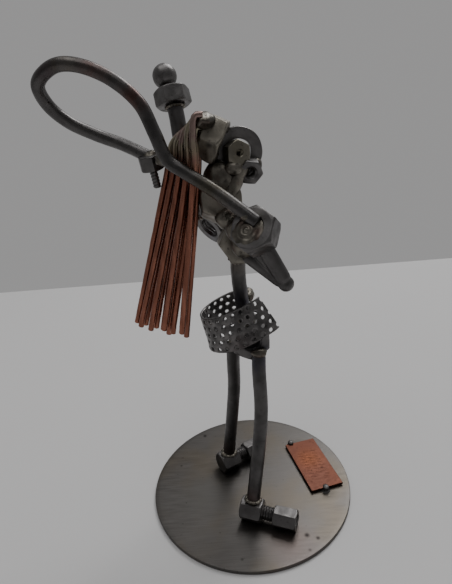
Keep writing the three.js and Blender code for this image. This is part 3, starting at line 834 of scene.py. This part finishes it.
def perforated_strip(hole, pitch):
    """Perforated strip: round each hole of a staggered pattern a ring out to its six-sided cell.

    The cells tile the flat strip, are cut off at its edges, and are then bent along the oval.
    """
    share = np.linspace(0, 1, 400)
    middle = skirt_point(share, np.zeros(400))
    lengths = np.concatenate([[0], np.cumsum(np.linalg.norm(np.diff(middle, axis=0), axis=1))])
    total = lengths[-1]
    row_pitch = pitch * math.sin(math.pi / 3)
    rows = np.arange(-3, 4)
    stations = np.arange(-1, int(total / pitch) + 2)
    row, station = np.meshgrid(rows, stations, indexing="ij")
    centre_u = (station + 0.5 * (row % 2)) * pitch + 0.4 * pitch
    centre_v = row * row_pitch
    angle = even_angles(CELL_SIDES)
    cell = pitch / 2 / np.cos((angle + math.pi / 6) % (math.pi / 3) - math.pi / 6)
    ring = np.stack([np.full(CELL_SIDES, hole / 2), (hole / 2 + cell) / 2, cell])
    u = centre_u[..., None, None] + ring * np.cos(angle)
    v = centre_v[..., None, None] + ring * np.sin(angle)
    u = np.clip(u, 0, total).reshape(-1, 3, CELL_SIDES)
    v = np.clip(v, -SKIRT_HEIGHT / 2, SKIRT_HEIGHT / 2).reshape(-1, 3, CELL_SIDES)
    quads = grid_faces(3, CELL_SIDES)
    faces = (np.arange(len(u))[:, None, None] * 3 * CELL_SIDES + quads).reshape(-1, 4)
    flat = np.stack([u.ravel(), v.ravel()], -1)
    a, b, c, d = (flat[faces[:, k]] for k in range(4))
    across, down = c - a, d - b
    area = np.abs(across[:, 0] * down[:, 1] - across[:, 1] * down[:, 0]) / 2
    faces = faces[area > 1e-3]
    sheet = skirt_point(np.interp(flat[:, 0], lengths, share), flat[:, 1])
    sheet = worn(sheet, 0.16, 9.0, 31)
    tilt = math.radians(SKIRT_TILT)
    axes = np.array([[math.cos(tilt), 0, math.sin(tilt)], [0, 1, 0], [-math.sin(tilt), 0, math.cos(tilt)]])
    return place(sheet, SKIRT_WAIST, axes), faces


def visor_band():
    """Flat ring: a rounded oblong section turned about an axis."""
    turn = even_angles(40)
    middle, half_w = (VISOR_OUTER + VISOR_INNER) / 4, (VISOR_OUTER - VISOR_INNER) / 4
    half_t = VISOR_THICKNESS / 2
    squared = (np.abs(np.cos(turn)) ** 7 + np.abs(np.sin(turn)) ** 7) ** (-1 / 7)
    radii = middle + half_w * squared * np.cos(turn)
    heights = half_t * squared * np.sin(turn)
    points, faces = rings(radii[:, None], heights[:, None], even_angles(96), wrap_rows=True)
    return place(worn(points, 0.08, 4.0, 17), VISOR, turned_axes(VISOR_AXIS)), faces


# Hair: where the wires of each layer end, outermost first, and how they are laid

HAIR_ENDS = (
    (-20.6,), (-26.8, -24), (-31.8, -25.7, -19.6), (-35.5, -30.2, -24.7), (-37, -34.2, -28.2),
)
HAIR_PITCH = 2.3
HAIR_NEST = 2.6
HAIR_NEAR_X, HAIR_NEAR_Y = -10.9, -6.9
HAIR_LAYER_STEP = 2
HAIR_TOP = 143
HAIR_BEND_X, HAIR_BEND_Z = -9.3, 133.2
HAIR_FAN_X, HAIR_FAN_Z = (-37, -19.6), (78, 72.8)
HAIR_LEAN = 0.4
HAIR_UNEVEN = 0.9


def hair_path(layer, nest, order):
    """A wire's path: a quarter oval over the back of the head, then down to its own place in the fan."""
    y = HAIR_NEAR_Y + layer * HAIR_PITCH
    x = HAIR_NEAR_X - layer * HAIR_LAYER_STEP + nest * HAIR_NEST
    top = HAIR_TOP - HAIR_LEAN * y - nest * HAIR_NEST
    angle = np.radians([90, 60, 30, 0])
    out = HAIR_BEND_X + (x - HAIR_BEND_X) * np.cos(angle)
    up = HAIR_BEND_Z + (top - HAIR_BEND_Z) * np.sin(angle)
    end_x = HAIR_ENDS[layer][nest]
    end_z = np.interp(end_x, HAIR_FAN_X, HAIR_FAN_Z) + HAIR_UNEVEN * math.sin(7 * order + 1) - HAIR_LEAN * y
    turned = [(across, y, height) for across, height in zip(out, up)]
    return [(CROWN[0], y, top), *turned, (end_x, y, end_z)]


# Operators


def sizes_in_mm(context):
    """The panel's sizes in millimetres, by name."""
    sizes = context.scene.figurine_sizes
    return {key: getattr(sizes, key) / MM for key in FigurineSizes.__annotations__ if key != "stroke_rows"}


def heading_way(heading_deg):
    """Direction on the ground."""
    turned = math.radians(heading_deg)
    return np.array([math.cos(turned), math.sin(turned), 0.0])


class FIGURINE_OT_finishes(bpy.types.Operator):
    """Make the metal finishes that the pieces share"""

    bl_idname = "figurine.finishes"
    bl_label = "Metal finishes"

    def execute(self, context):
        colours = context.scene.figurine_colours
        rod_tone = tuple(colours.rod_steel)
        heated_steel("limb steel", rod_tone, (
            ((0.6, 0, 86), 7, HEAT_BLUE, 0.8), ((0.5, -3, 100), 6, STRAW, 0.4),
            ((5.6, -4, 62), 7, HEAT_BLUE, 0.7), ((-0.8, -17, 11), 8, RED_BROWN, 0.5),
            ((-8.9, 9, 11), 8, RED_BROWN, 0.5), ((-9.5, 6, 116), 8, STRAW, 0.4)))
        heated_steel("racket steel", rod_tone, (
            ((-36, -4.5, 159), 7, RED_BROWN, 0.75), ((-26, -6, 151.5), 7, RED_BROWN, 0.8),
            ((-50, -1.5, 160.5), 6, PLUM, 0.6), ((-44, -3.5, 161.5), 6, STRAW, 0.35),
            ((-6, -12.5, 125), 12, OLIVE, 0.8)), rough=(0.24, 0.42))
        heated_steel("nut steel", tuple(colours.nut_steel), (
            ((6.5, -3.6, 66), 5, HEAT_BLUE, 0.7), ((0, -4, 71), 5, RED_BROWN, 0.35),
            ((5, -18, 117), 5, KHAKI, 0.4), ((-9, 5, 106), 5, HEAT_BLUE, 0.5)))
        heated_steel("dulled nut steel", tuple(colours.weld_steel), (
            (HEAD, 11, KHAKI, 0.65), (FACE, 8, KHAKI, 0.8), ((-5, -3, 118), 8, RED_BROWN, 0.4),
            # Painted shade: the two near-black spots after the straw patch stand for the shade in two dents
            # on the head's near side.
            ((2.8, -8.3, 111.7), 6, STRAW, 0.45), ((-5.6, -7.0, 143.0), 1.3, SOOT_AND_SHADE, 0.95),
            ((-6.4, -7.0, 137.2), 1.7, SOOT_AND_SHADE, 0.95)), rough=(0.34, 0.55), soot=0.6, grain=0.04)
        weld_steel("weld metal", tuple(colours.weld_steel))
        perforated_steel("perforated sheet steel", tuple(colours.nut_steel))
        brushed_base("brushed base steel", tuple(colours.base_steel))
        dulled_copper_wire("copper wire", tuple(colours.copper_wire))
        worn_copper_plate("copper plate", tuple(colours.copper_plate))
        return {"FINISHED"}


class FIGURINE_OT_base(bpy.types.Operator):
    """Build the round steel base"""

    bl_idname = "figurine.base"
    bl_label = "Base"

    def execute(self, context):
        size = sizes_in_mm(context)
        sheet = base_sheet(size["base_diameter"], size["base_thickness"])
        put_piece("base_sheet", [sheet], "brushed base steel", ["base_disc"])
        return {"FINISHED"}


class FIGURINE_OT_plate(bpy.types.Operator):
    """Build the copper plate with its rows of shallow strokes and its two pins"""

    bl_idname = "figurine.plate"
    bl_label = "Copper plate and pins"

    def execute(self, context):
        size = sizes_in_mm(context)
        rows = context.scene.figurine_sizes.stroke_rows
        low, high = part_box("copper_plate")
        centre = middle_mm(low, high)
        plate = copper_sheet(size["plate_length"], size["plate_width"], size["plate_thickness"],
                             rows, centre, PLATE_HEADING)
        put_piece("stamped_plate", [plate], "copper plate", ["copper_plate"])
        for place_name, node in (("front", "plate_pin_front"), ("back", "plate_pin_back")):
            low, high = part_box(node)
            foot = middle_mm(low, high)
            foot[2] = low[2] / MM - PIN_SUNK
            stub = pin(foot, PIN_DIAMETER, (high[2] - low[2]) / MM + PIN_SUNK, 41)
            put_piece(f"{place_name}_plate_stub", [stub], "nut steel", [node])
        return {"FINISHED"}


class FIGURINE_OT_feet(bpy.types.Operator):
    """Build both feet, each a long nut, a stud and a smaller long nut"""

    bl_idname = "figurine.feet"
    bl_label = "Feet"

    def execute(self, context):
        steel = "nut steel"
        feet = (("right", HEEL_RIGHT, HEADING_RIGHT, 3), ("left", HEEL_LEFT, HEADING_LEFT, 9))
        for side, heel, heading, seed in feet:
            ahead = heading_way(heading)
            toe = np.array(heel, float) + FOOT_REACH * ahead
            toe[2] = TOE_LEVEL
            put_piece(f"{side}_heel", [nut(HEEL_NUT, heel, ahead, 30, seed)], steel,
                      [f"heel_nut_{side}"])
            put_piece(f"{side}_toe", [nut(TOE_NUT, toe, ahead, 30, seed + 1)], steel,
                      [f"toe_nut_{side}"])
            stud = rod([heel, toe], STUD_DIAMETER, thread=0.3, step=0.12, sides=40, seed=seed)
            put_piece(f"{side}_instep", [stud], "limb steel",
                      [f"foot_stud_{side}"])
        return {"FINISHED"}


class FIGURINE_OT_legs(bpy.types.Operator):
    """Build the legs and the waist from bent rod"""

    bl_idname = "figurine.legs"
    bl_label = "Legs and waist"

    def execute(self, context):
        diameter = sizes_in_mm(context)["limb_diameter"]
        steel = "limb steel"
        for name, points, node in (("right_leg", RIGHT_LEG, "leg_right"), ("left_leg", LEFT_LEG, "leg_left"),
                                   ("waist", WAIST, "waist_rod")):
            put_piece(name, [rod(points, diameter, seed=len(name))], steel, [node])
        return {"FINISHED"}


class FIGURINE_OT_body(bpy.types.Operator):
    """Build the nuts of the hips, chest, shoulder and upper back"""

    bl_idname = "figurine.body"
    bl_label = "Body nuts"

    def execute(self, context):
        hips = nut(BODY_NUT, PELVIS, PELVIS_AXIS, 0, 21)
        chest = nut(CHEST_NUT, CHEST, CHEST_AXIS, 30, 22, wear=0.14, ripples=0.06)
        shoulder = nut(SHOULDER_NUT, SHOULDER, SHOULDER_AXIS, 10, 23)
        upper_back = nut(CHEST_NUT, UPPER_BACK, UPPER_BACK_AXIS, 0, 24, wear=0.2)
        put_piece("hips", [hips], "nut steel", ["pelvis_nut"])
        put_piece("chest", [chest], "dulled nut steel", ["chest_nut"])
        put_piece("left_shoulder", [shoulder], "nut steel", ["shoulder_nut_left"])
        put_piece("upper_back", [upper_back], "dulled nut steel", ["upper_back_nut"])
        return {"FINISHED"}


class FIGURINE_OT_skirt(bpy.types.Operator):
    """Build the skirt of perforated sheet and the weld that holds its end"""

    bl_idname = "figurine.skirt"
    bl_label = "Skirt"

    def execute(self, context):
        size = sizes_in_mm(context)
        strip = perforated_strip(size["hole_diameter"], size["hole_pitch"])
        skirt = put_piece("perforated_skirt", [strip], "perforated sheet steel",
                          ["skirt"], closed=False)
        wall = skirt.modifiers.new("sheet thickness", "SOLIDIFY")
        wall.thickness = size["sheet_thickness"] * MM
        wall.offset = 0.0
        weld = lump(SKIRT_WELD, SKIRT_WELD_HALF, seed=51)
        put_piece("skirt_end_weld", [weld], "weld metal", ["skirt_weld"])
        return {"FINISHED"}


class FIGURINE_OT_right_arm(bpy.types.Operator):
    """Build the right arm, folded at the elbow, and the nut of the racket hand"""

    bl_idname = "figurine.right_arm"
    bl_label = "Right arm"

    def execute(self, context):
        diameter = sizes_in_mm(context)["limb_diameter"]
        upper = rod([RIGHT_SHOULDER, ELBOW], diameter, end_round=2.3, seed=61)
        lower = rod([ELBOW, RIGHT_HAND], diameter, end_round=2.3, seed=62)
        web_end = np.add(RIGHT_SHOULDER, RIGHT_HAND) / 2
        web = rod([ELBOW, web_end], ARM_WEB, end_round=1.5, seed=65)
        joint = lump(ELBOW, (2.5, 2.5, 2.5), seed=63, bumps=0.02)
        arm = put_piece("right_arm", [upper, lower, web, joint], "limb steel",
                        ["arm_right"])
        fused = arm.modifiers.new("bent from one rod", "REMESH")
        fused.mode = "VOXEL"
        fused.voxel_size = 0.22 * MM
        fused.use_smooth_shade = True
        softened = arm.modifiers.new("softened crease", "SMOOTH")
        softened.iterations = 5
        softened.factor = 0.5
        hand = nut(BODY_NUT, RIGHT_HAND, HAND_AXIS, 0, 64, wear=0.12)
        put_piece("racket_hand", [hand], "nut steel", ["hand_nut_right"])
        return {"FINISHED"}


class FIGURINE_OT_left_arm(bpy.types.Operator):
    """Build the raised left arm, its nut and the ball"""

    bl_idname = "figurine.left_arm"
    bl_label = "Left arm and ball"

    def execute(self, context):
        size = sizes_in_mm(context)
        put_piece("left_arm", [rod(LEFT_ARM, size["limb_diameter"], seed=71)], "limb steel",
                  ["arm_left"])
        reach = np.subtract(LEFT_HAND, LEFT_ARM[3])
        put_piece("raised_hand", [nut(HAND_NUT, LEFT_HAND, reach, 10, 72)], "nut steel",
                  ["hand_nut_left"])
        low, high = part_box("ball")
        radius = size["ball_diameter"] / 2
        centre = middle_mm(low, high)
        centre[2] = high[2] / MM - radius
        ball = lump(centre, (radius, radius, radius), seed=73, bumps=0.008)
        put_piece("held_ball", [ball], "nut steel", ["ball"])
        return {"FINISHED"}


class FIGURINE_OT_head(bpy.types.Operator):
    """Build the neck, head, face, chin, visor and crown"""

    bl_idname = "figurine.head"
    bl_label = "Head"

    def execute(self, context):
        neck = rod(NECK, sizes_in_mm(context)["limb_diameter"], seed=81)
        neck_weld = lump(NECK_WELD, NECK_WELD_HALF, seed=86, bumps=0.07, size=5.0)
        head = nut(BODY_NUT, HEAD, HEAD_AXIS, 30, 82, wear=0.2)
        face = nut(FACE_NUT, FACE, FACE_AXIS, 0, 83, wear=0.2)
        chin = nut(CHIN_NUT, CHIN, CHIN_AXIS, 20, 84, wear=0.1)
        crown = lump(CROWN, CROWN_HALF, seed=85, bumps=0.08)
        put_piece("neck_and_weld", [neck, neck_weld], "weld metal", ["neck"])
        put_piece("head", [head], "dulled nut steel", ["head_nut"])
        put_piece("face", [face], "dulled nut steel", ["face_nut"])
        put_piece("chin", [chin], "nut steel", ["chin_nut"])
        put_piece("visor", [visor_band()], "nut steel", ["visor_ring"])
        put_piece("crown_weld", [crown], "weld metal", ["crown"])
        return {"FINISHED"}


class FIGURINE_OT_racket(bpy.types.Operator):
    """Build the racket from one bent rod, with the nut and stub at its throat"""

    bl_idname = "figurine.racket"
    bl_label = "Racket"

    def execute(self, context):
        size = sizes_in_mm(context)
        frame_rod = rod(RACKET, size["racket_diameter"], seed=91)
        put_piece("racket_frame", [frame_rod], "racket steel", ["racket"])
        put_piece("throat", [nut(THROAT_NUT, THROAT, THROAT_AXIS, 15, 92)], "nut steel",
                  ["throat_nut"])
        end = np.array(THROAT) + STUB_LENGTH * unit(THROAT_AXIS)
        stub = rod([THROAT, end], STUB_DIAMETER, thread=0.2, step=0.12, sides=32, end_round=0.35, seed=93)
        put_piece("throat_stub", [stub], "nut steel", ["throat_bolt"])
        return {"FINISHED"}


class FIGURINE_OT_hair(bpy.types.Operator):
    """Build the hair, wire by wire"""

    bl_idname = "figurine.hair"
    bl_label = "Hair"

    def execute(self, context):
        diameter = sizes_in_mm(context)["hair_diameter"]
        places = [(layer, nest) for layer, ends in enumerate(HAIR_ENDS) for nest in range(len(ends))]
        for order, (layer, nest) in enumerate(places, 1):
            wire = rod(hair_path(layer, nest, order), diameter, end_round=0.2, step=0.8, sides=24,
                       seed=100 + order, wear=0.05)
            put_piece(f"hair_{order:02d}", [wire], "copper wire", [f"hair_wire_{order:02d}"])
        return {"FINISHED"}


class FIGURINE_OT_welds(bpy.types.Operator):
    """Build the beads and lumps of weld where the pieces meet"""

    bl_idname = "figurine.welds"
    bl_label = "Welds"

    def execute(self, context):
        size = sizes_in_mm(context)
        radius, height = size["limb_diameter"] / 2, size["weld_height"]
        right_rise = np.subtract(RIGHT_LEG[1], RIGHT_LEG[0])
        left_rise = np.subtract(LEFT_LEG[1], LEFT_LEG[0])
        welds = [
            bead(np.array(HEEL_RIGHT) + 4.2 * unit(right_rise), right_rise, radius, height, 1),
            bead(np.array(HEEL_LEFT) + 4.2 * unit(left_rise), left_rise, radius, height, 2),
            bead((1.9, -0.15, 76.2), (-0.13, 0.02, 1), radius, height, 3),
            bead((0.4, -4.6, 101.6), (0.1, -0.25, 1), radius, height * 1.1, 4),
            bead(LEFT_ARM[0], (-0.3, 0.1, 1), radius, height * 1.3, 5),
            bead((-15.9, 8.2, 148.2), (-0.1, 0.3, 1), radius, height * 0.8, 6),
            lump((5.6, -4.6, 65.5), (2.9, 2.0, 1.8), seed=7),
            lump((-3.6, 3.6, 65.3), (2.9, 2.0, 1.8), seed=8),
            lump((-1.4, -6.8, 115.4), (4.8, 3.4, 3.8), seed=9, bumps=0.07, size=5.0),
            lump((-7.0, 2.6, 115.6), (3.6, 3.0, 2.6), seed=10, bumps=0.08, size=4.0),
            lump((0.8, -2.0, 129.8), (3.2, 2.6, 2.6), seed=11, bumps=0.08, size=4.0),
            lump((3.6, -17.2, 118.0), (2.4, 1.9, 1.5), seed=12, bumps=0.08, size=3.0),
            lump((2.2, -11.6, 108.4), (4.3, 3.6, 4.6), seed=13, bumps=0.06, size=5.0),
            lump((1.6, -11.8, 112.8), (4.8, 4.4, 4.0), seed=19, bumps=0.06, size=5.0),
            bead((-2.0, -9.7, 117.0), (0, -0.92, 0.39), 1.2, 0.55, 20),
            lump((-24.4, 2.0, 134.6), (2.7, 2.6, 1.8), seed=14, bumps=0.15),
            lump((-20.4, -4.4, 134.2), (2.2, 3.4, 2.0), seed=15, bumps=0.15),
            lump((8.0, 2.0, 129.6), (1.9, 2.2, 2.2), seed=16, bumps=0.15),
            lump((-17.4, 8.6, 154.0), (2.3, 2.3, 1.3), seed=17, bumps=0.15),
            button((3.0, -17.9, 113.8), HAND_AXIS, 5.3, 1.3, 18),
        ]
        put_piece("weld_beads", welds, "weld metal")
        return {"FINISHED"}


CAMERA_PLACE = (-4.48, -146.86, 149.32)
CAMERA_DOWN = 22.67
CAMERA_ROLL = -4.40
PHOTO_FOCAL_PX = 460
PHOTO_LONG_SIDE_PX = 584
SENSOR = 36
CLIP_START = 0.005

# Studio: the floor in metres, the lamps' names, places, widths and powers, and
# how dim the world is in front of the figure

FLOOR_HALF = 4.0
FLOOR_END = 0.25
STUDIO_AIM = (0, 0, 40)
STUDIO_LAMPS = (("window", (500, 800, 1200), 800, 11.0), ("ceiling", (-120, -60, 900), 700, 2.0))
WORLD_FRONT = 0.62
WORLD_FRONT_Y, WORLD_BACK_Y = -0.75, 0.35


def studio_light(name, place_mm, size_mm, power):
    """Square lamp at a place, turned to the figure."""
    data = bpy.data.lights.new(name, "AREA")
    data.size = size_mm * MM
    data.energy = power
    lamp = bpy.data.objects.new(name, data)
    axes = turned_axes(np.subtract(place_mm, STUDIO_AIM))
    lamp.matrix_world = bpy_matrix(axes, np.array(place_mm) * MM)
    bpy.context.scene.collection.objects.link(lamp)


def bpy_matrix(axes, location):
    """Blender matrix of three axes, as columns, and a location."""
    whole = np.eye(4)
    whole[:3, :3] = axes
    whole[:3, 3] = location
    return Matrix(whole.tolist())


def studio_world(colour):
    """World light by direction: the wall's colour behind the figure, dimmer in front of it."""
    world = bpy.data.worlds.new("studio")
    world.use_nodes = True
    tree = world.node_tree
    background = tree.nodes["Background"]
    direction = tree.nodes.new("ShaderNodeTexCoord").outputs["Generated"]
    parts = tree.nodes.new("ShaderNodeSeparateXYZ")
    tree.links.new(direction, parts.inputs["Vector"])
    back = tree.nodes.new("ShaderNodeMapRange")
    back.interpolation_type = "SMOOTHSTEP"
    back.inputs["From Min"].default_value = WORLD_FRONT_Y
    back.inputs["From Max"].default_value = WORLD_BACK_Y
    tree.links.new(parts.outputs["Y"], back.inputs["Value"])
    mix = tree.nodes.new("ShaderNodeMix")
    mix.data_type = "RGBA"
    tree.links.new(back.outputs["Result"], mix.inputs["Factor"])
    colour_sockets = [s for s in mix.inputs if s.type == "RGBA"]
    colour_sockets[0].default_value = (*shade(colour, WORLD_FRONT), 1.0)
    colour_sockets[1].default_value = (*colour, 1.0)
    result = [s for s in mix.outputs if s.type == "RGBA"][0]
    tree.links.new(result, background.inputs["Color"])
    bpy.context.scene.world = world


class FIGURINE_OT_stage(bpy.types.Operator):
    """Set up the floor, the lights and the camera"""

    bl_idname = "figurine.stage"
    bl_label = "Studio stage"

    def execute(self, context):
        colours = context.scene.figurine_colours
        mesh = bpy.data.meshes.new("studio_floor")
        corners = [(-FLOOR_HALF, -FLOOR_HALF, 0), (FLOOR_HALF, -FLOOR_HALF, 0),
                   (FLOOR_HALF, FLOOR_END, 0), (-FLOOR_HALF, FLOOR_END, 0)]
        mesh.from_pydata(corners, [], [(0, 1, 2, 3)])
        mesh.materials.append(matt_floor("studio floor", tuple(colours.floor)))
        floor = bpy.data.objects.new("studio_floor", mesh)
        context.scene.collection.objects.link(floor)
        studio_world(tuple(colours.wall))
        for lamp in STUDIO_LAMPS:
            studio_light(*lamp)
        axis = np.array([1.0, 0, 0])
        down = math.radians(CAMERA_DOWN)
        forward = np.array([0, math.cos(down), -math.sin(down)])
        up = np.cross(axis, forward)
        roll = math.radians(CAMERA_ROLL)
        image_right = math.cos(roll) * axis + math.sin(roll) * up
        image_up = -math.sin(roll) * axis + math.cos(roll) * up
        data = bpy.data.cameras.new("photo camera")
        data.sensor_width = SENSOR
        data.lens = SENSOR * PHOTO_FOCAL_PX / PHOTO_LONG_SIDE_PX
        data.clip_start = CLIP_START
        camera = bpy.data.objects.new("photo camera", data)
        camera.matrix_world = bpy_matrix(
            np.stack([image_right, image_up, -forward], 1), np.array(CAMERA_PLACE) * MM)
        context.scene.collection.objects.link(camera)
        context.scene.camera = camera
        return {"FINISHED"}


OPERATORS = (
    FIGURINE_OT_finishes, FIGURINE_OT_base, FIGURINE_OT_plate, FIGURINE_OT_feet, FIGURINE_OT_legs,
    FIGURINE_OT_body, FIGURINE_OT_skirt, FIGURINE_OT_right_arm, FIGURINE_OT_left_arm, FIGURINE_OT_head,
    FIGURINE_OT_racket, FIGURINE_OT_hair, FIGURINE_OT_welds, FIGURINE_OT_stage,
)


class FIGURINE_PT_panel(bpy.types.Panel):
    """Sidebar panel with the figurine's sizes, colours and pieces"""

    bl_idname = "FIGURINE_PT_panel"
    bl_label = "Tennis Player Figurine"
    bl_space_type = "VIEW_3D"
    bl_region_type = "UI"
    bl_category = "Figurine"

    def draw(self, context):
        scene = context.scene
        for heading, group in (("Sizes", scene.figurine_sizes), ("Colours", scene.figurine_colours)):
            box = self.layout.box()
            box.label(text=heading)
            for key in type(group).__annotations__:
                box.prop(group, key)
        for operator in OPERATORS:
            self.layout.operator(operator.bl_idname)


CLASSES = (FigurineSizes, FigurineColours, *OPERATORS, FIGURINE_PT_panel)


def register():
    """Registers the classes and hangs the settings on the scene."""
    for cls in CLASSES:
        bpy.utils.register_class(cls)
    bpy.types.Scene.figurine_sizes = PointerProperty(type=FigurineSizes)
    bpy.types.Scene.figurine_colours = PointerProperty(type=FigurineColours)


def unregister():
    """Takes the settings and the classes away again."""
    del bpy.types.Scene.figurine_colours
    del bpy.types.Scene.figurine_sizes
    for cls in reversed(CLASSES):
        bpy.utils.unregister_class(cls)


def main():
    """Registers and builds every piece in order."""
    register()
    for operator in OPERATORS:
        group, name = operator.bl_idname.split(".")
        getattr(getattr(bpy.ops, group), name)()


if __name__ == "__main__":
    main()
